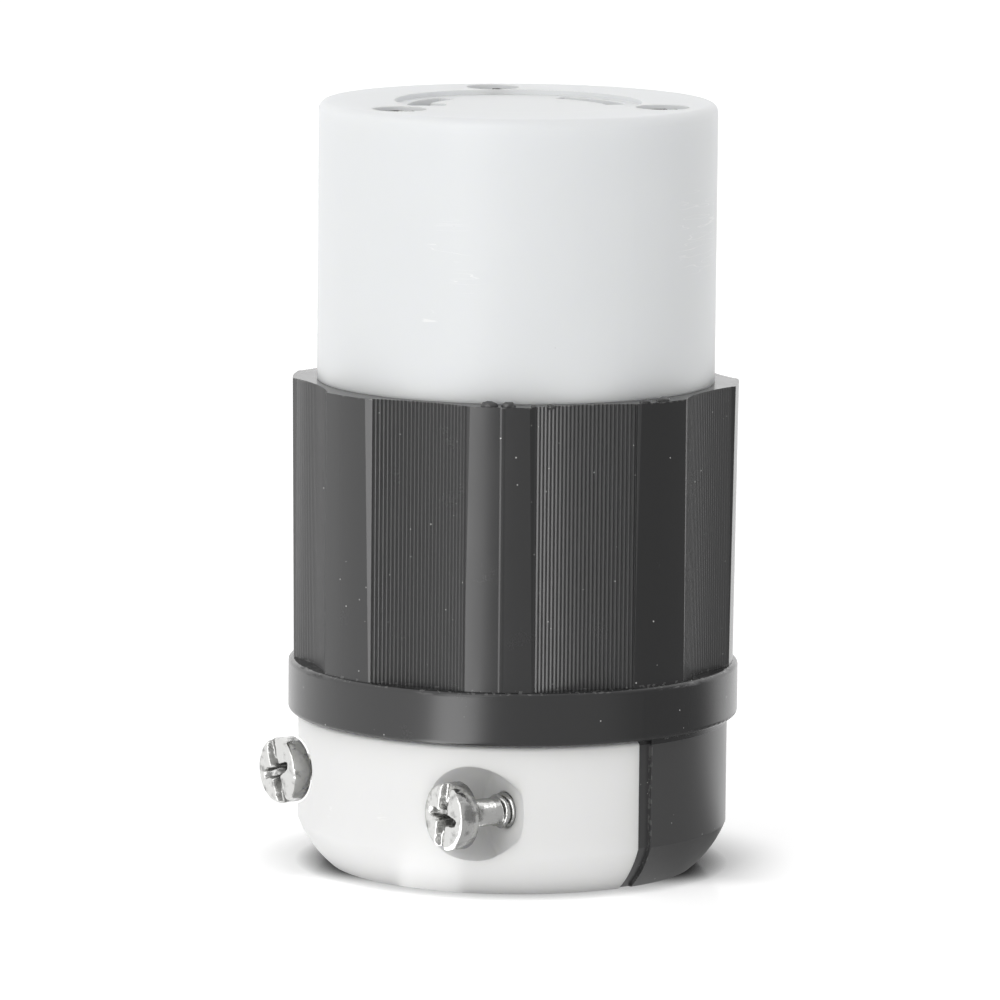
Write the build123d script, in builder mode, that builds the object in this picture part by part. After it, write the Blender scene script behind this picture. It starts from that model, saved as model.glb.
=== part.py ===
from build123d import *
import os
from math import acos, cos, degrees, radians, sin

os.makedirs("parts", exist_ok=True)

# Female locking cord connector, millimetres. The axis of the connector is Z, the cord
# enters at the bottom and the contact face is on top. The clamp screws point to -Y.
# Bearings are degrees about Z, counter-clockwise from +X.

# Heights of the main zones, stacked from the cord end upward
clamp_height = 15.2
collar_height = 5.3
grip_height = 27.8
barrel_height = 27.5

# Outside of the black housing and of the clamp jaw that completes its foot
clamp_radius = 21.3
foot_width = 3.2
foot_height = 4.4
foot_bulge = 0.35
collar_radius = 22.3
collar_edge = 0.5
land_radius = 22.05
land_draft = 0.25
flute_count = 8
flute_depth = 1.5
flute_radius = 22.0
land_bearing = 6.3
groove_pitch = 0.42
groove_depth = 0.16
groove_margin = 0.35

# Inside of the housing
chamber_radius = 17.5
floor_thickness = 2.5
boss_radius = 3.2
boss_inset = 2.5
boss_gap = 0.25

# Cord clamp: seam between the fixed half and the jaw, and the bore for the cord
seam_offset = 0.4
seam_gap = 0.25
jaw_gap = 0.2
jaw_edge = 0.4
jaw_corner = 0.8
rebate_width = 1.3
rebate_depth = 0.45
cord_radius = 8.0
cord_lead_in = 0.8

# Clamp screws, backed out from their seats as the connector is delivered
clamp_screw_offset = 14.8
clamp_screw_height = 8.4
clamp_screw_gap = 5.1
clamp_screw_length = 22.2
clamp_head_radius = 3.3
clamp_head_height = 2.4
clamp_head_edge = 0.7
clamp_thread_radius = 1.75
clamp_shank_radius = 1.35
clamp_shank_length = 5.4
jaw_seat_depth = 11.3
counterbore_radius = 4.6
clearance_hole = 0.2
clamp_insert_radius = 2.9
clamp_insert_length = 6.5
tip_clearance = 0.8

# White front body
barrel_radius = 19.65
face_edge = 0.9
face_wall = 3.0
face_recess_radius = 12.2
face_recess_depth = 0.5
spigot_length = 3.3
spigot_clearance = 0.2
block_bore = 13.0
block_clearance = 0.1

# Three curved blade slots in the face, and the pockets behind them
contact_bearing = -25.0
slot_circle = 9.9
slot_width = 2.1
line_slot_span = 44.0
neutral_slot_span = 52.0
ground_slot_span = 48.0
ground_hook_reach = 1.7
ground_hook_width = 2.6
pocket_clearance = 0.3
pocket_span = 54.0

# Twin-leaf contacts that grip the curved blades
leaf_thickness = 0.8
leaf_spread = 1.25
pinch_gap = 1.1
mouth_flare = 0.45
mouth_height = 3.2
pinch_height = 4.5
leaf_top_clearance = 1.8
contact_span = 36.0
web_thickness = 1.0
bend_radius = 1.0

# Terminal strap that leaves each contact for the wiring chamber
strap_seat = 12.0
strap_thickness = 1.0
strap_width = 9.0
strap_clearance = 0.15

# Rear terminal block
disc_thickness = 3.0
disc_clearance = 0.3
block_height = 12.0
lobe_width = 12.6
barrier_reach = 3.8
barrier_thickness = 1.5
wire_pocket_width = 7.4
wire_pocket_depth = 7.0
wire_pocket_height = 10.2

# Terminal screws and the pressure plates behind the straps
terminal_height = 5.2
terminal_head_radius = 3.2
terminal_head_height = 2.0
terminal_screw_length = 7.2
terminal_thread_radius = 1.75
plate_thickness = 1.6
plate_size = 7.0
wire_gap = 2.0

# Long assembly screws, from the face to the bosses, and their threaded inserts
assembly_bearing = 35.0
assembly_head_radius = 2.3
assembly_head_height = 2.1
assembly_head_depth = 0.25
assembly_head_clearance = 0.35
assembly_thread_radius = 1.45
assembly_hole_clearance = 0.2
insert_radius = 2.1
insert_length = 8.0
insert_engagement = 7.0
insert_clearance = 0.02
thread_clearance = 0.04

# Levels and places worked out from the sizes above
collar_bottom = clamp_height
collar_top = collar_bottom + collar_height
rim = collar_top + grip_height
face = rim + barrel_height
chamber_floor = collar_bottom + floor_thickness
spigot_bottom = rim - spigot_length
disc_bottom = spigot_bottom - disc_thickness
block_bottom = disc_bottom - block_height
boss_top = disc_bottom - boss_gap
assembly_circle = chamber_radius - boss_inset
block_front = face - face_recess_depth - face_wall
fixed_seam = seam_offset + seam_gap / 2
jaw_seam = seam_offset - seam_gap / 2
jaw_top = clamp_height - jaw_gap
jaw_seat = jaw_seam - jaw_seat_depth
clamp_head_seat = jaw_seat - clamp_screw_gap
clamp_tip = clamp_head_seat + clamp_screw_length
slot_inner = slot_circle - slot_width / 2
leaf_inner = slot_circle - leaf_spread - leaf_thickness / 2
leaf_outer = slot_circle + leaf_spread + leaf_thickness / 2
terminals = {"line": contact_bearing, "neutral": contact_bearing + 120, "ground": contact_bearing + 240}
slot_spans = {"line": line_slot_span, "neutral": neutral_slot_span, "ground": ground_slot_span}
clamp_screw_spots = ((-clamp_screw_offset, clamp_screw_height), (clamp_screw_offset, clamp_screw_height))
upward = (Align.CENTER, Align.CENTER, Align.MIN)


def radial_plane(bearing):
    """Upright plane through the axis: its x runs outward at the bearing, its y runs up."""
    turn = radians(bearing)
    return Plane(origin=(0, 0, 0), x_dir=(cos(turn), sin(turn), 0), z_dir=(sin(turn), -cos(turn), 0))


def tangent_plane(bearing, reach, height):
    """Upright plane square to the bearing, at this distance from the axis, facing outward."""
    turn = radians(bearing)
    origin = (reach * cos(turn), reach * sin(turn), height)
    return Plane(origin=origin, x_dir=(-sin(turn), cos(turn), 0), z_dir=(cos(turn), sin(turn), 0))


def ring_sector(inner, outer, bearing, span):
    """Flat sector of a ring, centred on the bearing."""
    with BuildSketch() as sector:
        with BuildLine():
            near = CenterArc((0, 0), inner, bearing - span / 2, span)
            far = CenterArc((0, 0), outer, bearing - span / 2, span)
            Line(near @ 0, far @ 0)
            Line(near @ 1, far @ 1)
        make_face()
    return sector.sketch


def foot_section(radius, top):
    """Half section of the clamp zone, with the bulged chamfer at its foot."""
    with BuildSketch(Plane.XZ) as section:
        with BuildLine():
            Polyline((radius, foot_height), (radius, top), (0, top), (0, 0), (radius - foot_width, 0))
            SagittaArc((radius - foot_width, 0), (radius, foot_height), -foot_bulge)
        make_face()
    return section.sketch


def save(part, name):
    """Label a finished piece and write it."""
    part.label = name
    export_step(part, f"parts/{name}.step")


def cord_bore(top):
    """Shape of the bore for the cord, up to this level, with its flared mouth."""
    with BuildPart() as bore:
        with BuildSketch(Plane.XY):
            Circle(cord_radius)
        extrude(amount=top)
        Cone(cord_radius + cord_lead_in, cord_radius, cord_lead_in, align=upward)
    return bore.part


# Rebate that the fixed clamp half has along its seam edge
with BuildPart() as rebate:
    with BuildSketch(Plane.XY):
        with Locations((0, fixed_seam + rebate_width / 2)):
            Rectangle(2 * clamp_radius + 2, rebate_width)
    extrude(amount=clamp_height)
    add(foot_section(clamp_radius - rebate_depth, clamp_height))
    revolve(axis=Axis.Z, mode=Mode.SUBTRACT)

# Grip before its grooves: a drafted ring with smooth lands between round flutes
flute_centre = land_radius - flute_depth + flute_radius
flute_bearing = land_bearing + 180 / flute_count
flute_cosine = (flute_centre**2 + flute_radius**2 - land_radius**2) / (2 * flute_centre * flute_radius)
half_flute = degrees(acos(flute_cosine))
groove_step = degrees(groove_pitch / flute_radius)
groove_count = int(2 * (half_flute - degrees(groove_margin / flute_radius)) / groove_step) + 1
groove_span = groove_step * (groove_count - 1)
with BuildPart() as grip:
    with Locations((0, 0, collar_top)):
        Cone(land_radius - land_draft, land_radius, grip_height, align=upward)
    with BuildSketch(Plane.XY.offset(collar_top)):
        Circle(chamber_radius)
        with PolarLocations(flute_centre, flute_count, flute_bearing):
            Circle(flute_radius)
    extrude(amount=grip_height, mode=Mode.SUBTRACT)

# Black housing: fixed clamp half, collar, screw bosses and grip in one moulding, with fine V
# grooves along every flute
with BuildPart() as housing:
    add(foot_section(clamp_radius, clamp_height))
    revolve(axis=Axis.Z)
    with BuildSketch(Plane.XY):
        with Locations((0, fixed_seam)):
            Rectangle(3 * clamp_radius, 3 * clamp_radius, align=(Align.CENTER, Align.MAX))
    extrude(amount=clamp_height, mode=Mode.SUBTRACT)
    add(rebate.part, mode=Mode.SUBTRACT)
    with BuildSketch(Plane.XY.offset(collar_bottom)):
        Circle(collar_radius)
    extrude(amount=collar_height)
    collar_rims = housing.edges().filter_by(GeomType.CIRCLE).filter_by(lambda e: e.radius == collar_radius)
    fillet(collar_rims, collar_edge)
    with BuildSketch(Plane.XY.offset(chamber_floor)):
        Circle(chamber_radius)
    extrude(amount=collar_top - chamber_floor, mode=Mode.SUBTRACT)
    add(cord_bore(chamber_floor), mode=Mode.SUBTRACT)
    with BuildSketch(Plane.XZ.offset(-fixed_seam)):
        with Locations(*clamp_screw_spots):
            Circle(clamp_insert_radius + insert_clearance)
    extrude(amount=-clamp_insert_length, mode=Mode.SUBTRACT)
    with BuildSketch(Plane.XZ.offset(-fixed_seam)):
        with Locations(*clamp_screw_spots):
            Circle(clamp_thread_radius + clearance_hole)
    extrude(amount=-(clamp_tip + clamp_screw_gap + tip_clearance - fixed_seam), mode=Mode.SUBTRACT)
    with BuildSketch(Plane.XY.offset(chamber_floor)):
        with PolarLocations(assembly_circle, 3, assembly_bearing):
            Circle(boss_radius)
    extrude(amount=boss_top - chamber_floor)
    with BuildSketch(Plane.XY.offset(boss_top)):
        with PolarLocations(assembly_circle, 3, assembly_bearing):
            Circle(insert_radius + insert_clearance)
    extrude(amount=-insert_length, mode=Mode.SUBTRACT)
    add(grip.part)
    with BuildSketch(Plane.XY.offset(collar_top)):
        with PolarLocations(flute_centre, flute_count, flute_bearing):
            with PolarLocations(flute_radius, groove_count, 180 - groove_span / 2, groove_span):
                RegularPolygon(groove_depth, 4)
    extrude(amount=grip_height, mode=Mode.SUBTRACT)
save(housing.part, "housing")

# White jaw: the loose half of the cord clamp, with a deep round seat for each screw head
with BuildPart() as clamp_jaw:
    add(foot_section(clamp_radius, jaw_top))
    revolve(axis=Axis.Z)
    with BuildSketch(Plane.XY):
        with Locations((0, jaw_seam)):
            Rectangle(3 * clamp_radius, 3 * clamp_radius, align=(Align.CENTER, Align.MIN))
    extrude(amount=jaw_top, mode=Mode.SUBTRACT)
    fillet(clamp_jaw.edges().filter_by(Axis.X).group_by(Axis.Z)[-1], jaw_corner)
    side = clamp_jaw.faces().filter_by(GeomType.CYLINDER).sort_by(SortBy.AREA)[-1]
    fillet(side.edges().filter_by(lambda e: e.center().Z > foot_height + jaw_edge), jaw_edge)
    add(cord_bore(jaw_top), mode=Mode.SUBTRACT)
    with BuildSketch(Plane.XZ.offset(-jaw_seat)):
        with Locations(*clamp_screw_spots):
            Circle(counterbore_radius)
    extrude(amount=clamp_radius, mode=Mode.SUBTRACT)
    with BuildSketch(Plane.XZ.offset(-jaw_seam)):
        with Locations(*clamp_screw_spots):
            Circle(clamp_thread_radius + clearance_hole)
    extrude(amount=jaw_seat_depth, mode=Mode.SUBTRACT)
save(clamp_jaw.part, "clamp_jaw")


def clamp_screw(offset):
    """Pan head screw along Y with a reduced shank under its head and a combination recess."""
    head_plane = Plane.XZ.offset(-clamp_head_seat)
    with BuildPart() as screw:
        with BuildSketch(head_plane):
            with Locations((offset, clamp_screw_height)):
                Circle(clamp_head_radius)
        extrude(amount=clamp_head_height)
        fillet(screw.edges().sort_by(Axis.Y)[0], clamp_head_edge)
        with BuildSketch(head_plane):
            with Locations((offset, clamp_screw_height)):
                Circle(clamp_shank_radius)
        extrude(amount=-clamp_shank_length)
        with BuildSketch(head_plane.offset(-clamp_shank_length)):
            with Locations((offset, clamp_screw_height)):
                Circle(clamp_thread_radius)
        extrude(amount=-(clamp_screw_length - clamp_shank_length))
    return screw.part


for side, offset in (("left", -clamp_screw_offset), ("right", clamp_screw_offset)):
    save(clamp_screw(offset), f"clamp_screw_{side}")
    with BuildPart() as clamp_insert:
        with BuildSketch(Plane.XZ.offset(-fixed_seam)):
            with Locations((offset, clamp_screw_height)):
                Circle(clamp_insert_radius)
                Circle(clamp_thread_radius + thread_clearance, mode=Mode.SUBTRACT)
        extrude(amount=-clamp_insert_length)
    save(clamp_insert.part, f"clamp_insert_{side}")

# White front body: barrel, spigot and face in one moulding, hollow behind the face
with BuildPart() as front_body:
    with BuildSketch(Plane.XZ):
        with BuildLine():
            Polyline(
                (0, block_front),
                (block_bore, block_front),
                (block_bore, spigot_bottom),
                (chamber_radius - spigot_clearance, spigot_bottom),
                (chamber_radius - spigot_clearance, rim),
                (barrel_radius, rim),
                (barrel_radius, face),
                (0, face),
                close=True,
            )
        make_face()
    revolve(axis=Axis.Z)
    fillet(front_body.edges().filter_by(GeomType.CIRCLE).sort_by(Axis.Z)[-1], face_edge)
    with BuildSketch(Plane.XY.offset(face)):
        Circle(face_recess_radius)
    extrude(amount=-face_recess_depth, mode=Mode.SUBTRACT)
    with BuildSketch(Plane.XY.offset(face)):
        for name, bearing in terminals.items():
            add(ring_sector(slot_inner, slot_inner + slot_width, bearing, slot_spans[name]))
        hook_span = degrees(ground_hook_width / slot_circle)
        hook_bearing = terminals["ground"] + (ground_slot_span - hook_span) / 2
        add(ring_sector(slot_inner - ground_hook_reach, slot_circle, hook_bearing, hook_span))
    extrude(amount=-(face - block_front), mode=Mode.SUBTRACT)
    with BuildSketch(Plane.XY.offset(face)):
        with PolarLocations(assembly_circle, 3, assembly_bearing):
            Circle(assembly_head_radius + assembly_head_clearance)
    extrude(amount=-(assembly_head_depth + assembly_head_height), mode=Mode.SUBTRACT)
    with BuildSketch(Plane.XY.offset(face)):
        with PolarLocations(assembly_circle, 3, assembly_bearing):
            Circle(assembly_thread_radius + assembly_hole_clearance)
    extrude(amount=-(face - spigot_bottom), mode=Mode.SUBTRACT)
save(front_body.part, "front_body")

# Contact block inside the barrel: one deep pocket for each contact, open to the slot in front of it
pocket_inner = leaf_inner - pocket_clearance
pocket_outer = leaf_outer + pocket_clearance
with BuildPart() as contact_block:
    with BuildSketch(Plane.XY.offset(spigot_bottom)):
        Circle(block_bore - block_clearance)
        for bearing in terminals.values():
            add(ring_sector(pocket_inner, pocket_outer, bearing, pocket_span), mode=Mode.SUBTRACT)
    extrude(amount=block_front - spigot_bottom)
save(contact_block.part, "contact_block")

# Rear terminal block: a disc behind the pockets and three lobes with barriers and wire pockets
web_start = leaf_inner * cos(radians(contact_span / 2)) - strap_clearance
with BuildPart() as contact_carrier:
    with BuildSketch(Plane.XY.offset(disc_bottom)):
        Circle(chamber_radius - disc_clearance)
    extrude(amount=disc_thickness)
    for bearing in terminals.values():
        with BuildSketch(radial_plane(bearing)):
            with Locations((0, block_bottom)):
                Rectangle(strap_seat + barrier_reach, block_height, align=Align.MIN)
        extrude(amount=lobe_width / 2, both=True)
    for bearing in terminals.values():
        with BuildSketch(radial_plane(bearing)):
            with Locations((strap_seat, block_bottom)):
                Rectangle(barrier_reach + 1, block_height, align=Align.MIN)
        extrude(amount=lobe_width / 2 - barrier_thickness, both=True, mode=Mode.SUBTRACT)
        with BuildSketch(radial_plane(bearing)):
            with Locations((strap_seat - strap_clearance, disc_bottom)):
                Rectangle(strap_thickness + 2 * strap_clearance, disc_thickness, align=Align.MIN)
        extrude(amount=strap_width / 2 + strap_clearance, both=True, mode=Mode.SUBTRACT)
        with BuildSketch(radial_plane(bearing)):
            with Locations((web_start, spigot_bottom)):
                Rectangle(strap_seat - web_start, web_thickness, align=(Align.MIN, Align.MAX))
        extrude(amount=strap_width / 2 + strap_clearance, both=True, mode=Mode.SUBTRACT)
        with BuildSketch(radial_plane(bearing)):
            with Locations((strap_seat, block_bottom)):
                Rectangle(wire_pocket_depth, wire_pocket_height, align=(Align.MAX, Align.MIN))
        extrude(amount=wire_pocket_width / 2, both=True, mode=Mode.SUBTRACT)
    with BuildSketch(Plane.XY.offset(disc_bottom)):
        with PolarLocations(assembly_circle, 3, assembly_bearing):
            Circle(assembly_thread_radius + assembly_hole_clearance)
    extrude(amount=disc_thickness, mode=Mode.SUBTRACT)
    with BuildSketch(Plane.XY.offset(block_bottom)):
        Circle(chamber_radius - disc_clearance)
    extrude(amount=block_height + disc_thickness, mode=Mode.INTERSECT)
save(contact_carrier.part, "contact_carrier")

terminal_level = block_bottom + terminal_height


def contact(bearing):
    """Two curved leaves on one web, pinched near the top with a flared mouth, and a wiring strap."""
    web_level = spigot_bottom - web_thickness / 2
    leaf_top = block_front - leaf_top_clearance
    pinch_level = leaf_top - mouth_height - pinch_height
    half_pinch = (pinch_gap + leaf_thickness) / 2
    with BuildPart() as spring:
        with BuildSketch(radial_plane(bearing - contact_span / 2)):
            for way in (-1, 1):
                with BuildLine():
                    FilletPolyline(
                        (slot_circle, web_level),
                        (slot_circle + way * leaf_spread, web_level),
                        (slot_circle + way * leaf_spread, web_level + pinch_height),
                        (slot_circle + way * half_pinch, pinch_level),
                        (slot_circle + way * half_pinch, leaf_top - mouth_height),
                        (slot_circle + way * (half_pinch + mouth_flare), leaf_top),
                        radius=bend_radius,
                    )
                trace(line_width=leaf_thickness)
        revolve(axis=Axis.Z, revolution_arc=contact_span)
        with BuildSketch(radial_plane(bearing)):
            with BuildLine():
                FilletPolyline(
                    (slot_circle, web_level),
                    (strap_seat + strap_thickness / 2, web_level),
                    (strap_seat + strap_thickness / 2, block_bottom + web_thickness),
                    radius=(strap_thickness + strap_clearance) / 2,
                )
            trace(line_width=strap_thickness)
        extrude(amount=strap_width / 2, both=True)
        with BuildSketch(tangent_plane(bearing, strap_seat, terminal_level)):
            Circle(terminal_thread_radius + clearance_hole)
        extrude(amount=strap_thickness, mode=Mode.SUBTRACT)
    return spring.part


def terminal_screw(bearing):
    """Terminal screw that points to the axis, its head on the outer face of the strap."""
    seat = tangent_plane(bearing, strap_seat + strap_thickness, terminal_level)
    with BuildPart() as screw:
        with BuildSketch(seat):
            Circle(terminal_head_radius)
        extrude(amount=terminal_head_height)
        with BuildSketch(seat):
            Circle(terminal_thread_radius)
        extrude(amount=-terminal_screw_length)
    return screw.part


def pressure_plate(bearing):
    """Square plate that the terminal screw draws against the wire and the strap."""
    reach = strap_seat - wire_gap - plate_thickness
    with BuildPart() as plate:
        with BuildSketch(tangent_plane(bearing, reach, terminal_level)):
            Rectangle(plate_size, plate_size)
            Circle(terminal_thread_radius + thread_clearance, mode=Mode.SUBTRACT)
        extrude(amount=plate_thickness)
    return plate.part


for name, bearing in terminals.items():
    save(contact(bearing), f"{name}_contact")
    save(terminal_screw(bearing), f"{name}_terminal_screw")
    save(pressure_plate(bearing), f"{name}_pressure_plate")

for number in range(3):
    turn = radians(assembly_bearing + 120 * number)
    spot = (assembly_circle * cos(turn), assembly_circle * sin(turn))
    head_seat = face - assembly_head_depth - assembly_head_height
    with BuildPart() as assembly_screw:
        with BuildSketch(Plane.XY.offset(head_seat)):
            with Locations(spot):
                Circle(assembly_head_radius)
        extrude(amount=assembly_head_height)
        with BuildSketch(Plane.XY.offset(head_seat)):
            with Locations(spot):
                Circle(assembly_thread_radius)
        extrude(amount=-(head_seat - boss_top + insert_engagement))
    save(assembly_screw.part, f"assembly_screw_{number + 1}")
    with BuildPart() as assembly_insert:
        with BuildSketch(Plane.XY.offset(boss_top)):
            with Locations(spot):
                Circle(insert_radius)
                Circle(assembly_thread_radius + thread_clearance, mode=Mode.SUBTRACT)
        extrude(amount=-insert_length)
    save(assembly_insert.part, f"assembly_insert_{number + 1}")
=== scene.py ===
from math import cos, pi, radians, sin

import bmesh
import bpy
from mathutils import Matrix, Vector, noise


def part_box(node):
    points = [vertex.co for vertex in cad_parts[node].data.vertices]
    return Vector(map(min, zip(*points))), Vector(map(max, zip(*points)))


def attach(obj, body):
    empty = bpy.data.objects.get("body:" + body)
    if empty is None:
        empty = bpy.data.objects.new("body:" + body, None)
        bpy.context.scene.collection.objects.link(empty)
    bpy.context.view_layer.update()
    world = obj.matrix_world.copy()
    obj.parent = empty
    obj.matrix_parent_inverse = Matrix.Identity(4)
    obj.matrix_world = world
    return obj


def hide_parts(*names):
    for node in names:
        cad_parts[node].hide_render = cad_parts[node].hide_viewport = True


# Locking cord connector. Its axis is Z, its cord end stands on the floor, and the heads of its
# clamp screws face -Y. Lengths are in metres, and in mm where a comment says so.

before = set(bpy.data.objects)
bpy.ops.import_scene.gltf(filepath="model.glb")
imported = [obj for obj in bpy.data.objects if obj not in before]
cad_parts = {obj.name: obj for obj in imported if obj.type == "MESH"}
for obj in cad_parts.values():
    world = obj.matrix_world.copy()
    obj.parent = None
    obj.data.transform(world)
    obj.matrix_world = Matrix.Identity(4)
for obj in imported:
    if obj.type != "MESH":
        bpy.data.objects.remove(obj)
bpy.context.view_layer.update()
mm = 0.001
metre = 1000

# Camera of the photograph, turned about the connector's axis from straight in front of the screws
view_turn = radians(55)
camera_place = (0.00328, -0.7634, 0.1473)
camera_aside = 0.0062
camera_down = 0.1446
camera_roll = 0.0097
camera_lens = 280.5

# Surroundings: the even fill, and what glossy surfaces see in the open, in front and to the right
fill_level = 0.5
fill_tilt = 0.2
open_side = 1.4
front_way = (0.66, -0.75, 0)
front_band = (0.1, 0.5)
front_shade = 0.75
right_way = (1, -0.1, 0)
right_band = (0.75, 0.97)
right_shade = 0.35

# Tall softbox, at a bearing beside the camera's line of sight, and its streak, in degrees
key_bearing = -26
key_reach = 0.8
key_level = 0.35
key_target = (0, 0, 0.04)
key_size = (0.3, 0.9)
key_power = 2.1
streak_level = 3.9
streak_ends = (13, 7)

# Pale floor: a painted contact shadow darkens it at the foot, and it glows further out, from nearer
# the foot in front, so that it looks as white as the rest
floor_drop = 0.00005
floor_reach = 3.0
floor_white = (0.86, 0.86, 0.86)
floor_gloss = 0.06
floor_roughness = 0.12
contact_shadow_reach = 0.0025
contact_shadow_samples = 8
floor_glow = 0.2
floor_shine = 0.24
glow_band = (0.0175, 0.03)
front_spread = 0.013
spread_band = (0.3, 0.9)

# Hues
black = (0.024, 0.024, 0.0245)
base_black = (0.058, 0.058, 0.0585)
# Lighter black of the ribbed flutes: a painted sheen that stands in for the highlights on their
# ribs
flute_sheen_black = (0.052, 0.052, 0.0525)
barrel_white = (0.80, 0.815, 0.823)
jaw_white = (0.875, 0.875, 0.87)
# Pale scuffs on the white nylon, and the painted highlight along its edges
scuff_and_highlight_white = (0.97, 0.97, 0.97)
plate_silver = (0.54, 0.54, 0.53)
nickel_silver = (0.70, 0.68, 0.63)
brass_yellow = (0.78, 0.55, 0.24)
screw_green = (0.03, 0.20, 0.07)
dust_grey = (0.55, 0.55, 0.54)
dirt_grey = (0.35, 0.34, 0.33)
# Painted shade in the screw recesses, and the colour of stains on the plating
shade_and_stain_grey = (0.07, 0.07, 0.068)

# Grain and waves of the finishes, in waves per metre
black_grain = 9000
black_flow = 220
black_crumbs = 1900
white_grain = 6000
white_wave = 130
plate_patch = 1100
plate_stain = 900

# Specks: cells per metre, radius of the largest, and the share of cells that stay bare
black_dust = (1100, 0.00008, 0.6)
white_dirt = (500, 0.00006, 0.8)
plate_pits = (2600, 0.00005, 0.4)

# Relief of the finishes, and the radius to which they round every edge
black_relief = 0.00002
black_edge = 0.00005
white_relief = 0.000006
white_edge = 0.00018
plate_relief = 0.00006
plate_edge = 0.00008
edge_samples = 6

# Roughness of the finishes where nothing adds to it, and the nylon's index of refraction
black_roughness = 0.2
base_roughness = 0.08
white_roughness = 0.42
zinc_roughness = 0.16
nickel_roughness = 0.2
brass_roughness = 0.22
green_roughness = 0.3
nylon_index = 1.53

# Shade between the waves of the white nylon, and the wear of the plating
wave_shade = 0.975
dull_shade = 0.5
worn_band = (0.5, 0.75)
stain_bare = 0.48
stain_show = 0.9

# Levels and reaches of the frame that the finishes follow
collar_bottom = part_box("clamp_jaw")[1].z + 0.0002
grip_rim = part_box("housing")[1].z
collar_top = 0.0205
seam_step = 0.00183
stain_bottom = 0.07
flute_reach = 0.0218
flute_fade = 0.0002

# Drop below the collar at which the base's paler black begins
base_drop = 0.0006

# Bands of dust on the black nylon: half of each width, and the drop of the one under the collar
collar_dust = 0.0002
rim_dust = 0.00012
seam_dust = 0.00008
under_dust = 0.00016
under_drop = 0.0001

# Share of those bands that stays bare, and how strongly the dust shows on the rest
corner_bare = 0.6
corner_show = 0.12
seam_bare = 0.55
seam_show = 0.13

# Mould line down the land that faces the camera: where it lies, its crest and foot, and its land
mould_line_bearing = radians(-37.9)
mould_line_outward = (cos(mould_line_bearing), sin(mould_line_bearing), 0)
mould_line_aside = (-sin(mould_line_bearing), cos(mould_line_bearing), 0)
mould_line_edges = (0.00006, 0.0003)
mould_line_land = 0.021

# Scuffs on the white nylon: place and reach of each spot in mm, waves per metre of their hairlines
barrel_spots = (
    ((11.6, -15.9, 63.7), 2.8),
    ((12.8, -14.9, 60.2), 1.8),
    ((9.8, -17.0, 56.3), 1.0),
    ((16.8, 10.2, 64.0), 6.0),
)
jaw_spots = (((-0.4, -21.3, 6.6), 0.9), ((6.9, -20.1, 7.2), 0.8))
scuff_scale = (130, 130, 1700)
hairline = 0.01

# Painted highlight along the white nylon's edges, over the band of how far their normals turn away
edge_highlight_band = (0.02, 0.2)

# Screws, in mm: radius, height and edge rounding of the head, then radius over and under the thread
clamp_head = (3.29, 2.4, 0.45)
clamp_thread = (1.74, 1.35)
clamp_shank = 3.5
clamp_turns = {"left": radians(20), "right": radians(-11)}
face_head = (2.29, 2.1, 0.25)
face_thread = (1.44, 1.1)
face_thread_length = 12
face_turns = {1: 0.5, 2: 1.3, 3: -0.4}
face_recess = 0.72
face_wear = 3

# Combination recess of a clamp screw's head, in mm. The cross tapers and rises towards its ends.
slot_width = 1.35
slot_depth = 0.8
cross_reach = 2.15
cross_width = 1.15
cross_taper = 0.2
cross_depth = 1.9
cross_flat = 1.5
cross_rise = 1.2
wall_slope = 0.12
wall_drift = 0.16
wall_waves = 1.9
# Painted shade at the bottom of the cross, as the share of dark grey it mixes in; it fades towards
# the face
recess_shade = 0.9

# Form and wear of the heads, in mm
head_steps = 192
ring_gap = 0.055
head_dome = 0.1
head_chamfer = 0.1
head_soften = 0.3
wave_depth = 0.03
wave_scale = 1.3
nick_depth = 0.14
nick_scale = 2.6
nick_rarity = 0.3

# Threads and stems, in mm. The foot and the crest of the ridge are shares of the pitch.
thread_pitch = 0.79
thread_steps = 24
thread_foot = 0.44
thread_crest = 0.06
thread_sink = 0.12
thread_hide = 0.02
thread_stop = 0.9
stem_sink = 0.5
stem_point = 0.4
stem_taper = 0.7
stem_steps = 64

# Outline of the loose jaw, in mm, from the cord passage to the seam under the collar
passage_reach = 8
passage_flare = 0.8
foot_edge = (18.1, 0)
foot_chord = (3.2, 4.4)
foot_bulge = 1.4
foot_steps = 8
shoulder_reach = 20.9
shoulder_round = 0.4
corner_round = 0.8
jaw_steps = 180
jaw_crease = radians(30)

# Pockets, holes and relief of the jaw, in mm: half of each width and height, and where they begin
screw_aside = 14.8
screw_level = 8.4
pocket_size = (3.45, 4.65)
pocket_aside = 14.9
pocket_bottom = -11.03
pocket_fillet = 0.5
pocket_length = 20
hole_size = (1.82, 1.82)
hole_start = 2
hole_fillet = 0.1
hole_length = 16
relief_size = (2.05, 3.45)
relief_start = -16.1
bore_steps = 72

# Lumps of flash on the rim of the grip: bearing in degrees, half width and height in mm
flash_lumps = (
    (-41.6, 0.85, 0.5),
    (-36.6, 0.7, 0.48),
    (-25.5, 0.4, 0.25),
    (-30.0, 0.3, 0.2),
    (1.5, 0.7, 0.3),
    (7.5, 0.9, 0.35),
)
flash_thickness = 0.45
flash_reach = 21.2
flash_drift = 0.1
flash_waves = 3

# Angles along a rounded edge
quarter = [step * pi / 12 for step in range(7)]


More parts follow.
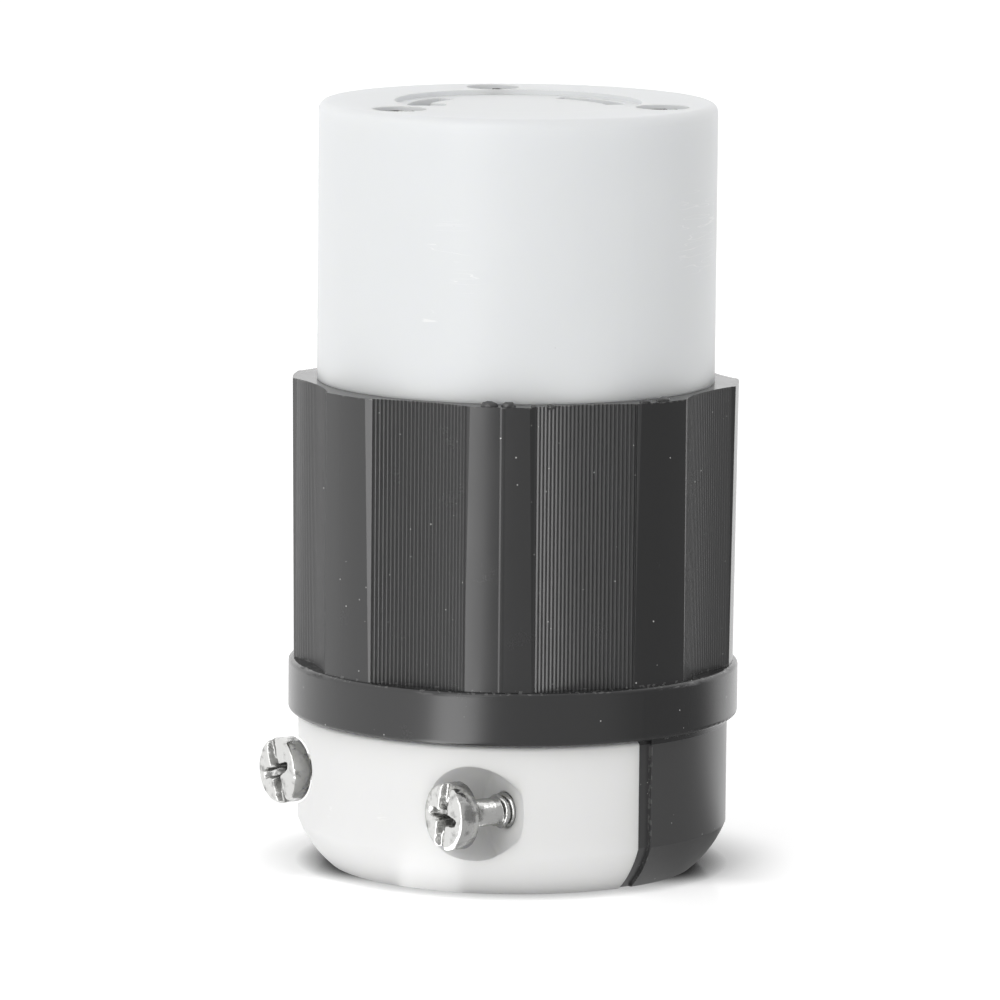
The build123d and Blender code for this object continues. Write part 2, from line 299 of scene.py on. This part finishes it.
class Wire:
    """A value that runs from one shader node to the next. Sums and comparisons add Math nodes."""

    def __init__(self, shader, socket):
        self.shader = shader
        self.socket = socket

    def math(self, operation, *values):
        return self.shader.node("ShaderNodeMath", {"operation": operation}, dict(enumerate(values)))

    def __add__(self, other):
        return self.math("ADD", self, other)

    def __sub__(self, other):
        return self.math("SUBTRACT", self, other)

    def __rsub__(self, other):
        return self.math("SUBTRACT", other, self)

    def __mul__(self, other):
        return self.math("MULTIPLY", self, other)

    def __gt__(self, other):
        return self.math("GREATER_THAN", self, other)

    def __lt__(self, other):
        return self.math("LESS_THAN", self, other)

    def __or__(self, other):
        return self.math("MAXIMUM", self, other)

    def __abs__(self):
        return self.math("ABSOLUTE", self)

    __radd__ = __add__
    __rmul__ = __mul__


class Shader:
    """The nodes of one material or of the world."""

    def __init__(self, owner):
        owner.use_nodes = True
        self.tree = owner.node_tree
        self.tree.nodes.clear()

    def node(self, kind, settings=None, sockets=None, output=0):
        """Add one node: its settings first, then the values or wires of its sockets."""
        added = self.tree.nodes.new(kind)
        for setting, value in (settings or {}).items():
            setattr(added, setting, value)
        for socket, value in (sockets or {}).items():
            if isinstance(value, Wire):
                self.tree.links.new(value.socket, added.inputs[socket])
            else:
                added.inputs[socket].default_value = value
        return Wire(self, added.outputs[output]) if len(added.outputs) else None

    def vector(self, operation, *values, output="Value"):
        """Add a Vector Math node. It gives a number, or a vector where that output is named."""
        settings = {"operation": operation}
        return self.node("ShaderNodeVectorMath", settings, dict(enumerate(values)), output)

    def axis(self, place, name):
        return self.node("ShaderNodeSeparateXYZ", None, {"Vector": place}, name)

    def ray(self, kind):
        return self.node("ShaderNodeLightPath", None, None, kind)

    def noise(self, place, scale, detail):
        sockets = {"Vector": place, "Scale": scale, "Detail": detail}
        return self.node("ShaderNodeTexNoise", None, sockets)

    def rise(self, value, low, high):
        """Smooth step from 0 at low to 1 at high."""
        settings = {"interpolation_type": "SMOOTHSTEP"}
        sockets = {"Value": value, "From Min": low, "From Max": high}
        return self.node("ShaderNodeMapRange", settings, sockets)

    def blend(self, share, colour, other):
        """Mix of two colours."""
        sockets = {0: share, 6: solid(colour), 7: solid(other)}
        return self.node("ShaderNodeMix", {"data_type": "RGBA"}, sockets, 2)


def solid(colour):
    """A colour with full alpha, or a wire as it is."""
    return colour if isinstance(colour, Wire) else (*colour, 1)


def finish_of(name, paint, **constants):
    """Material whose surface comes from paint, with the same value everywhere for other sockets."""
    material = bpy.data.materials.new(name)
    shader = Shader(material)
    place = shader.node("ShaderNodeTexCoord", None, None, "Object")
    sockets = {socket.replace("_", " "): value for socket, value in constants.items()}
    sockets.update(paint(shader, place))
    surface = shader.node("ShaderNodeBsdfPrincipled", None, sockets)
    shader.node("ShaderNodeOutputMaterial", None, {"Surface": surface})
    return material


def specks(shader, place, per_metre, radius, rarity):
    """Small spots of different sizes, scattered at random."""
    cells = {"Vector": place, "Scale": per_metre}
    nearest = shader.node("ShaderNodeTexVoronoi", None, cells, "Distance")
    hue = shader.node("ShaderNodeTexVoronoi", None, cells, "Color")
    chance = shader.node("ShaderNodeSeparateColor", None, {"Color": hue}, "Red")
    return nearest < (chance - rarity) * (radius * per_metre / (1 - rarity))


def soft_edges(shader, radius):
    """Normals of the surface with its edges rounded."""
    return shader.node("ShaderNodeBevel", {"samples": edge_samples}, {"Radius": radius})


def bump(shader, height, depth, under):
    """Normals of fine relief over those of the surface under it."""
    sockets = {"Height": height, "Distance": depth, "Normal": under}
    return shader.node("ShaderNodeBump", None, sockets)


def paint_black_nylon(shader, place):
    """Satin moulded nylon with fine grain, faint flow marks, a mould line, dust in corners, and
    ribbed flutes painted a lighter black as a painted sheen.
    """
    grain = shader.noise(place, black_grain, 3)
    flow = shader.noise(place, black_flow, 3)
    crumbs = shader.noise(place, black_crumbs, 2)
    level = shader.axis(place, "Z")
    depth = shader.axis(place, "Y")
    dust = specks(shader, place, *black_dust)
    corner = (abs(level - collar_top) < collar_dust) | (abs(level - grip_rim) < rim_dust)
    seam = (abs(depth - seam_step) < seam_dust) * (level < collar_bottom)
    under = (abs(level - collar_bottom + under_drop) < under_dust) * (depth > 0)
    in_corner = (corner | under) * (crumbs > corner_bare) * corner_show
    marks = dust | in_corner | seam * (crumbs > seam_bare) * seam_show
    base = level < collar_bottom - base_drop
    outward = shader.vector("MULTIPLY", place, (1, 1, 0), output="Vector")
    reach = shader.vector("LENGTH", outward)
    # Ribbed flutes above the collar are painted lighter: a painted sheen for the highlights on
    # their ribs
    flute_sheen = (1 - shader.rise(reach, flute_reach - flute_fade, flute_reach)) * (level > collar_top)
    body = shader.blend(flute_sheen, shader.blend(base, black, base_black), flute_sheen_black)
    aside = abs(shader.vector("DOT_PRODUCT", place, mould_line_aside))
    crest = 1 - shader.rise(aside, *mould_line_edges)
    out = shader.vector("DOT_PRODUCT", place, mould_line_outward)
    ridge = crest * (out > mould_line_land) * (level > collar_top)
    return {
        "Base Color": shader.blend(marks, body, dust_grey),
        "Roughness": black_roughness + 0.08 * flow + 0.03 * grain + base_roughness * base,
        "Normal": bump(
            shader, grain * 0.08 + flow * 0.3 + ridge, black_relief, soft_edges(shader, black_edge)
        ),
    }


def scuffs(shader, place, spots):
    """Broken hairlines that run round the axis, only near these spots."""
    along = shader.node("ShaderNodeMapping", None, {"Vector": place, "Scale": scuff_scale})
    line = abs(shader.noise(along, 1, 1) - 0.5) < hairline
    near = 0
    for spot, reach in spots:
        gap = shader.vector("DISTANCE", place, Vector(spot) * mm)
        near = near + (1 - shader.rise(gap, 0.5 * mm * reach, mm * reach))
    return line * near


def paint_white_nylon(colour, spots):
    """Smooth moulded nylon with faint waves, pale scuffs in a few spots, a little dirt, and a
    painted highlight along its edges.
    """

    def paint(shader, place):
        wave = shader.noise(place, white_wave, 2)
        grain = shader.noise(place, white_grain, 2)
        scuff = scuffs(shader, place, spots)
        dirt = specks(shader, place, *white_dirt)
        shade = [wave_shade * part for part in colour]
        plain = shader.blend(dirt * 0.5, shader.blend(wave, shade, colour), dirt_grey)
        rounded = soft_edges(shader, white_edge)
        flat = shader.node("ShaderNodeNewGeometry", None, None, "Normal")
        # Edges are painted lighter where the rounded normals turn from the flat ones: a painted
        # highlight
        edge = shader.rise(1 - shader.vector("DOT_PRODUCT", rounded, flat), *edge_highlight_band)
        return {
            "Base Color": shader.blend(scuff * 0.5 | edge, plain, scuff_and_highlight_white),
            "Roughness": white_roughness + 0.08 * wave + 0.1 * scuff,
            "Normal": bump(shader, 0.4 * grain + 4 * wave - 0.5 * scuff, white_relief, rounded),
        }

    return paint


def paint_plated(colour, roughness):
    """Bright plating over worn steel: patches of a duller finish, pits, stains, and painted shade
    that darkens the recesses more where they are deeper.
    """

    def paint(shader, place):
        patch = shader.noise(place, plate_patch, 5)
        pit = specks(shader, place, *plate_pits)
        dull = [dull_shade * part for part in colour]
        worn = shader.rise(patch, *worn_band)
        # Painted shade in the recesses, stored per vertex by depth, together with real stains high
        # up
        recess = shader.node("ShaderNodeAttribute", {"attribute_name": "recess"}, None, "Fac")
        level = shader.axis(place, "Z")
        stain = (shader.noise(place, plate_stain, 1) > stain_bare) * (level > stain_bottom)
        shade_and_stain = recess | stain * stain_show
        return {
            "Base Color": shader.blend(shade_and_stain, shader.blend(worn | pit, colour, dull), shade_and_stain_grey),
            "Metallic": 1 - stain_show * stain,
            "Roughness": roughness + 0.3 * worn + 0.2 * pit + 0.2 * shade_and_stain + 0.5 * stain,
            "Normal": bump(shader, patch - 0.3 * pit, plate_relief, soft_edges(shader, plate_edge)),
        }

    return paint


def make_finishes():
    """Every finish of the connector, by name."""
    translucent = {
        "Subsurface_Weight": 0.6,
        "Subsurface_Radius": (1.0, 1.0, 1.1),
        "Subsurface_Scale": 0.003,
        "IOR": nylon_index,
    }
    barrel = paint_white_nylon(barrel_white, barrel_spots)
    jaw = paint_white_nylon(jaw_white, jaw_spots)
    return {
        "black_nylon": finish_of("black_nylon", paint_black_nylon, IOR=nylon_index),
        "barrel_nylon": finish_of("barrel_nylon", barrel, **translucent),
        "jaw_nylon": finish_of("jaw_nylon", jaw, **translucent),
        "zinc_plate": finish_of("zinc_plate", paint_plated(plate_silver, zinc_roughness)),
        "nickel_plate": finish_of("nickel_plate", paint_plated(nickel_silver, nickel_roughness)),
        "brass": finish_of("brass", paint_plated(brass_yellow, brass_roughness)),
        "green_plate": finish_of("green_plate", paint_plated(screw_green, green_roughness)),
    }


def dress_nodes(finishes):
    """Give every node of the frame its finish."""
    finish_for = {
        "housing": "black_nylon",
        "contact_carrier": "black_nylon",
        "front_body": "barrel_nylon",
        "contact_block": "jaw_nylon",
        "clamp_jaw": "jaw_nylon",
        "neutral_terminal_screw": "nickel_plate",
        "neutral_pressure_plate": "nickel_plate",
        "ground_terminal_screw": "green_plate",
    }
    for name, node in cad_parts.items():
        plating = "zinc_plate" if name.startswith(("clamp_screw", "assembly_screw")) else "brass"
        node.data.materials.clear()
        node.data.materials.append(finishes[finish_for.get(name, plating)])


def turned(bm, outline, steps):
    """Spin an outline of radius and level about Z, from pole to pole or closed on itself."""
    points = [bm.verts.new((radius, 0, level)) for radius, level in outline]
    edges = [bm.edges.new(pair) for pair in zip(points, points[1:])]
    if outline[0][0]:
        edges.append(bm.edges.new((points[-1], points[0])))
    bmesh.ops.spin(
        bm,
        geom=points + edges,
        cent=(0, 0, 0),
        axis=(0, 0, 1),
        angle=2 * pi,
        steps=steps,
        use_merge=True,
    )
    bmesh.ops.remove_doubles(bm, verts=bm.verts, dist=1e-4)
    bmesh.ops.recalc_face_normals(bm, faces=bm.faces)


def temporary(bm, name):
    """Object that only lends its shape to a modifier."""
    mesh = bpy.data.meshes.new(name)
    bm.to_mesh(mesh)
    bm.free()
    thing = bpy.data.objects.new(name, mesh)
    bpy.context.scene.collection.objects.link(thing)
    return thing


def carved(blank, cutters):
    """Shape of a blank once the cutters are taken out of it."""
    for cutter in cutters:
        cut = blank.modifiers.new(cutter.name, "BOOLEAN")
        cut.operation = "DIFFERENCE"
        cut.solver = "MANIFOLD"
        cut.object = cutter
    shape = blank.evaluated_get(bpy.context.evaluated_depsgraph_get())
    bm = bmesh.new()
    bm.from_mesh(shape.to_mesh())
    for thing in (blank, *cutters):
        bpy.data.objects.remove(thing)
    return bm


def bore_cutter(size, fillet, length, place, name):
    """Oval bar that runs from its place along the local Z, its first end rounded off, in mm."""
    across, up = size
    share = fillet / across
    end = [(1 - share + share * sin(bend), fillet * (1 - cos(bend))) for bend in quarter]
    bm = bmesh.new()
    turned(bm, [(0, 0), *end, (1, length), (0, length)], bore_steps)
    bmesh.ops.scale(bm, vec=(across, up, 1), verts=bm.verts)
    bmesh.ops.transform(bm, matrix=place, verts=bm.verts)
    return temporary(bm, name)


def drift(place):
    """Smooth random shift at a place."""
    return Vector([noise.noise(place + Vector((0, 0, 7 * axis))) for axis in range(3)])


def ramp(reach):
    """Share of a wall that a place this far inside it has gone down."""
    return min(1, max(0, 0.5 + reach / wall_slope))


def recess_depth(place, turn, share):
    """Depth of the slot and of the cross at a place of the face, their walls uneven from use."""
    spot = Matrix.Rotation(-turn, 3, "Z") @ place / share
    spot += wall_drift * drift(spot * wall_waves)
    depth = slot_depth * ramp(slot_width / 2 - abs(spot.x))
    for along, across in ((abs(spot.x), abs(spot.y)), (abs(spot.y), abs(spot.x))):
        out = along / cross_reach
        sunk = cross_depth * min(1, cross_flat - cross_rise * out)
        half_width = cross_width * (0.5 - cross_taper * out)
        depth = max(depth, sunk * ramp(cross_reach - along) * ramp(half_width - across))
    return share * depth


def worn_head(size, turn, share=1, wear=1):
    """Pan head with a slot and a cross in its face, its edges rounded and dented from use."""
    radius, height, edge = size
    flat = radius - edge
    rim = height - head_dome
    rings = [flat * step * ring_gap for step in range(1, int(1 / ring_gap))]
    face = [(reach, height - head_dome * (reach / radius) ** 2) for reach in rings]
    crown = [(flat + edge * sin(bend), rim - edge + edge * cos(bend)) for bend in quarter]
    foot = [(radius, head_chamfer), (radius - head_chamfer, 0), (0, 0)]
    bm = bmesh.new()
    turned(bm, [(0, height), *face, *crown, *foot], head_steps)
    # Each sunk vertex keeps a painted shade in the recess layer, darker the deeper it lies
    recess = bm.verts.layers.float.new("recess")
    for point in bm.verts:
        depth = recess_depth(Vector((*point.co.xy, 0)), turn, share)
        if point.co.z > height - depth:
            point.co.z = height - depth
            point[recess] = recess_shade * depth / (share * cross_depth)
    every_axis = {"use_axis_x": True, "use_axis_y": True, "use_axis_z": True}
    bmesh.ops.smooth_vert(bm, verts=bm.verts, factor=head_soften, **every_axis)
    bm.normal_update()
    for point in bm.verts:
        wave = noise.noise(point.co * wave_scale)
        nick = max(0, noise.noise(point.co * nick_scale + Vector((turn, 0, 9))) - nick_rarity)
        point.co -= wear * point.normal * (wave_depth * wave + nick_depth * nick)
    return bm


def thread_ridge(radius, root, start, length):
    """Ridge that winds down a stem, sunk into it, growing over its first turn, with closed ends."""
    bm = bmesh.new()
    sunk = root - thread_sink
    profile = [
        (sunk, thread_foot),
        (radius, thread_crest),
        (radius, -thread_crest),
        (sunk, -thread_foot),
    ]
    first = [bm.verts.new((reach, 0, start + share * thread_pitch)) for reach, share in profile]
    sides = [bm.edges.new((first[k], first[k - 1])) for k in range(len(first))]
    steps = round(length / thread_pitch * thread_steps)
    wound = bmesh.ops.spin(
        bm,
        geom=first + sides,
        cent=(0, 0, 0),
        axis=(0, 0, 1),
        dvec=(0, 0, -thread_pitch / thread_steps),
        angle=-2 * pi * steps / thread_steps,
        steps=steps,
    )
    bm.faces.new(first)
    bm.faces.new([part for part in wound["geom_last"] if isinstance(part, bmesh.types.BMVert)])
    hidden = root - thread_hide
    for point in bm.verts:
        across = point.co.xy.length
        grown = min(1, max(0, (start - point.co.z) / thread_pitch))
        if across > root:
            point.co.xy *= (hidden + grown * (radius - root + thread_hide)) / across
    bmesh.ops.recalc_face_normals(bm, faces=bm.faces)
    return bm


def add_shell(bm, shell):
    """Put a finished closed shell into a piece."""
    mesh = bpy.data.meshes.new("shell")
    shell.to_mesh(mesh)
    shell.free()
    bm.from_mesh(mesh)
    bpy.data.meshes.remove(mesh)


def add_stem(bm, thread, shank, length):
    """Rod under a head and the thread that winds round it."""
    radius, root = thread
    top = [(0, stem_sink), (root, stem_sink)]
    point = [(root, stem_point - length), (stem_taper * root, -length), (0, -length)]
    stem = bmesh.new()
    turned(stem, top + point, stem_steps)
    add_shell(bm, stem)
    add_shell(bm, thread_ridge(radius, root, -shank, length - shank - thread_stop))


def make_piece(bm, name, body, finish, node=None):
    """Hand a finished shape to its body, in place of a node of the frame where one is named."""
    mesh = bpy.data.meshes.new(name)
    bm.to_mesh(mesh)
    bm.free()
    mesh.shade_smooth()
    mesh.materials.append(finish)
    piece = bpy.data.objects.new(name, mesh)
    bpy.context.scene.collection.objects.link(piece)
    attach(piece, body)
    if node:
        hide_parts(node)


def jaw_blank(high):
    """Half ring of the jaw, up to its highest corner in mm, before its pockets are cut."""
    chord = Vector(foot_chord)
    bulge = Vector((chord.y, -chord.x)).normalized()
    foot = []
    for step in range(foot_steps + 1):
        along = step / foot_steps
        bent = foot_bulge * along * (1 - along) * bulge
        foot.append(tuple(Vector(foot_edge) + along * chord + bent))
    low = high.z - shoulder_round
    shoulder = [
        (shoulder_reach + shoulder_round * cos(bend), low + shoulder_round * sin(bend))
        for bend in quarter
    ]
    passage = [(passage_reach, high.z), (passage_reach, passage_flare)]
    bm = bmesh.new()
    turned(bm, [(passage_reach + passage_flare, 0), *foot, *shoulder, *passage], jaw_steps)
    whole = bm.verts[:] + bm.edges[:] + bm.faces[:]
    bmesh.ops.bisect_plane(
        bm, geom=whole, plane_co=(0, high.y, 0), plane_no=(0, 1, 0), clear_outer=True
    )
    bmesh.ops.holes_fill(bm, edges=[edge for edge in bm.edges if edge.is_boundary], sides=0)

    def at_corner(point):
        return abs(point.co.y - high.y) < 1e-3 and abs(point.co.z - high.z) < 1e-3

    corner = [edge for edge in bm.edges if all(at_corner(point) for point in edge.verts)]
    bmesh.ops.bevel(
        bm, geom=corner, offset=corner_round, affect="EDGES", segments=5, profile=0.5, material=-1
    )
    bmesh.ops.recalc_face_normals(bm, faces=bm.faces)
    return temporary(bm, "jaw")


def jaw_cutters():
    """Pockets and holes of both clamp screws, and the relief beside the left head."""
    cutters = []
    inward = Matrix.Rotation(pi / 2, 4, "X")
    for side, way in (("left", -1), ("right", 1)):
        pocket = Matrix.Translation((way * pocket_aside, pocket_bottom, screw_level)) @ inward
        hole = Matrix.Translation((way * screw_aside, hole_start, screw_level)) @ inward
        cutters.append(
            bore_cutter(pocket_size, pocket_fillet, pocket_length, pocket, f"pocket_{side}")
        )
        cutters.append(bore_cutter(hole_size, hole_fillet, hole_length, hole, f"hole_{side}"))
    beside = Matrix.Translation((-screw_aside, relief_start, screw_level))
    relief = (
        beside @ Matrix.Rotation(view_turn, 4, "Z") @ Matrix.Rotation(pi / 2 - camera_down, 4, "X")
    )
    cutters.append(bore_cutter(relief_size, pocket_fillet, pocket_length, relief, "relief"))
    return cutters


def make_jaw(finishes):
    """White loose half of the cord clamp, with a tall pocket behind each screw head."""
    blank = jaw_blank(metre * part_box("clamp_jaw")[1])
    bm = carved(blank, jaw_cutters())
    bmesh.ops.scale(bm, vec=(mm, mm, mm), verts=bm.verts)
    make_piece(bm, "white_jaw", "clamp_jaw", finishes["jaw_nylon"], "clamp_jaw")
    bpy.data.objects["white_jaw"].data.set_sharp_from_angle(angle=jaw_crease)


def make_clamp_screws(finishes):
    """The two pan head screws of the cord clamp, along Y with their heads to -Y."""
    head_height = clamp_head[1]
    for side, turn in clamp_turns.items():
        node = f"clamp_screw_{side}"
        low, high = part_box(node)
        bm = worn_head(clamp_head, turn)
        add_stem(bm, clamp_thread, clamp_shank, metre * (high.y - low.y) - head_height)
        neck = ((low.x + high.x) / 2, low.y + head_height * mm, (low.z + high.z) / 2)
        lay = Matrix.Translation(neck) @ Matrix.Rotation(pi / 2, 4, "X") @ Matrix.Scale(mm, 4)
        bmesh.ops.transform(bm, matrix=lay, verts=bm.verts)
        make_piece(
            bm, f"pan_head_screw_{side}", node, finishes["zinc_plate"], node
        )


def make_assembly_screws(finishes):
    """The three long screws whose heads show in the face."""
    head_height = face_head[1]
    for number, turn in face_turns.items():
        node = f"assembly_screw_{number}"
        low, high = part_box(node)
        bm = worn_head(face_head, turn, face_recess, face_wear)
        length = metre * (high.z - low.z) - head_height
        add_stem(bm, face_thread, length - face_thread_length, length)
        neck = ((low.x + high.x) / 2, (low.y + high.y) / 2, high.z - head_height * mm)
        stand = Matrix.Translation(neck) @ Matrix.Scale(mm, 4)
        bmesh.ops.transform(bm, matrix=stand, verts=bm.verts)
        make_piece(
            bm, f"face_screw_{number}", "housing", finishes["zinc_plate"], node
        )


def make_flash(finishes):
    """Lumps of flash left on the rim of the grip."""
    bm = bmesh.new()
    for bearing, half_width, height in flash_lumps:
        lump = bmesh.ops.create_icosphere(bm, subdivisions=3, radius=1)["verts"]
        bmesh.ops.scale(bm, vec=(flash_thickness, half_width, height), verts=lump)
        for point in lump:
            point.co += flash_drift * drift(point.co * flash_waves + Vector((0, 0, bearing)))
        rim = Matrix.Translation((flash_reach, 0, metre * grip_rim))
        spot = Matrix.Rotation(radians(bearing), 4, "Z") @ rim
        bmesh.ops.transform(bm, matrix=spot, verts=lump)
    bmesh.ops.scale(bm, vec=(mm, mm, mm), verts=bm.verts)
    make_piece(bm, "rim_flash", "housing", finishes["black_nylon"])


def make_camera():
    """Camera that sees the connector as the photograph does."""
    camera = bpy.data.objects.new("camera", bpy.data.cameras.new("camera"))
    bpy.context.scene.collection.objects.link(camera)
    camera.data.lens = camera_lens
    camera.matrix_world = (
        Matrix.Rotation(view_turn, 4, "Z")
        @ Matrix.Translation(camera_place)
        @ Matrix.Rotation(camera_aside, 4, "Z")
        @ Matrix.Rotation(pi / 2 - camera_down, 4, "X")
        @ Matrix.Rotation(camera_roll, 4, "Z")
    )
    bpy.context.scene.camera = camera


def beside_camera(bearing):
    """Turn from -Y to a bearing in degrees beside the camera's line of sight."""
    return Matrix.Rotation(view_turn + radians(bearing), 3, "Z")


def mirrored_level(shader, way):
    """What glossy surfaces see in a direction: white, dimmer towards the front and the right."""
    turn = beside_camera(0)
    front = shader.rise(shader.vector("DOT_PRODUCT", way, turn @ Vector(front_way)), *front_band)
    right = shader.rise(shader.vector("DOT_PRODUCT", way, turn @ Vector(right_way)), *right_band)
    return open_side - front_shade * front - right_shade * right


def make_surroundings():
    """White surroundings for the camera, with an even fill for the connector."""
    scene = bpy.context.scene
    scene.view_settings.view_transform = "Standard"
    scene.world = bpy.data.worlds.new("surroundings")
    shader = Shader(scene.world)
    way = shader.node("ShaderNodeTexCoord", None, None, "Generated")
    direct = shader.ray("Is Camera Ray")
    mirrored = shader.ray("Is Glossy Ray") | shader.ray("Is Transmission Ray")
    level = mirrored_level(shader, way)
    fill = fill_level + fill_tilt * level
    strength = direct + (1 - direct) * (fill + mirrored * (level - fill))
    sockets = {"Color": (1, 1, 1, 1), "Strength": strength}
    light = shader.node("ShaderNodeBackground", None, sockets)
    shader.node("ShaderNodeOutputWorld", None, {"Surface": light})


def make_softbox():
    """Tall lamp that stands beside the camera's line of sight."""
    place = beside_camera(key_bearing) @ Vector((0, -key_reach, key_level))
    light = bpy.data.lights.new("key", "AREA")
    light.shape = "RECTANGLE"
    light.size, light.size_y = key_size
    light.energy = key_power
    lamp = bpy.data.objects.new("key", light)
    bpy.context.scene.collection.objects.link(lamp)
    aim = (Vector(key_target) - place).to_track_quat("-Z", "Y")
    lamp.matrix_world = Matrix.Translation(place) @ aim.to_matrix().to_4x4()


def make_floor():
    """Pale floor that keeps the connector's shadow, darkened further round its foot by painted
    shade.
    """
    bpy.ops.mesh.primitive_plane_add(size=2 * floor_reach, location=(0, 0, -floor_drop))
    floor = bpy.context.object
    floor.name = "floor"
    material = bpy.data.materials.new("floor")
    shader = Shader(material)
    # Ambient occlusion darkens the floor round the foot: a painted contact shadow
    contact = {"Color": solid(floor_white), "Distance": contact_shadow_reach}
    shaded = shader.node("ShaderNodeAmbientOcclusion", {"samples": contact_shadow_samples}, contact)
    pale = shader.node("ShaderNodeBsdfDiffuse", None, {"Color": shaded})
    polish = {"Color": (1, 1, 1, 1), "Roughness": floor_roughness}
    gloss = shader.node("ShaderNodeBsdfGlossy", None, polish)
    surface = shader.node("ShaderNodeMixShader", None, {0: floor_gloss, 1: pale, 2: gloss})
    direct = shader.ray("Is Camera Ray")
    # The glow fades out towards the foot, so that the floor near it shows darker: painted shade
    place = shader.node("ShaderNodeTexCoord", None, None, "Object")
    way = shader.vector("NORMALIZE", place, output="Vector")
    reach = shader.vector("LENGTH", place)
    ahead = shader.vector("DOT_PRODUCT", way, beside_camera(0) @ Vector((0, -1, 0)))
    reach = reach + front_spread * shader.rise(ahead, *spread_band)
    shine = (floor_glow + floor_shine * direct) * shader.rise(reach, *glow_band)
    glow = shader.node("ShaderNodeEmission", None, {"Strength": shine})
    lit = shader.node("ShaderNodeAddShader", None, {0: surface, 1: glow})

    # Gloss on the connector shows the floor as white as its surroundings, with the softbox in it
    towards = shader.vector("DOT_PRODUCT", way, beside_camera(key_bearing) @ Vector((0, -1, 0)))
    streak = shader.rise(towards, *(cos(radians(end)) for end in streak_ends))
    sheen_level = mirrored_level(shader, way) + streak_level * streak
    sheen = shader.node("ShaderNodeEmission", None, {"Strength": sheen_level})
    mirrored = shader.ray("Is Glossy Ray")
    both = shader.node("ShaderNodeMixShader", None, {0: mirrored, 1: lit, 2: sheen})
    shader.node("ShaderNodeOutputMaterial", None, {"Surface": both})
    floor.data.materials.append(material)


make_camera()
make_surroundings()
make_softbox()
make_floor()
finishes = make_finishes()
dress_nodes(finishes)
make_jaw(finishes)
make_clamp_screws(finishes)
make_assembly_screws(finishes)
make_flash(finishes)
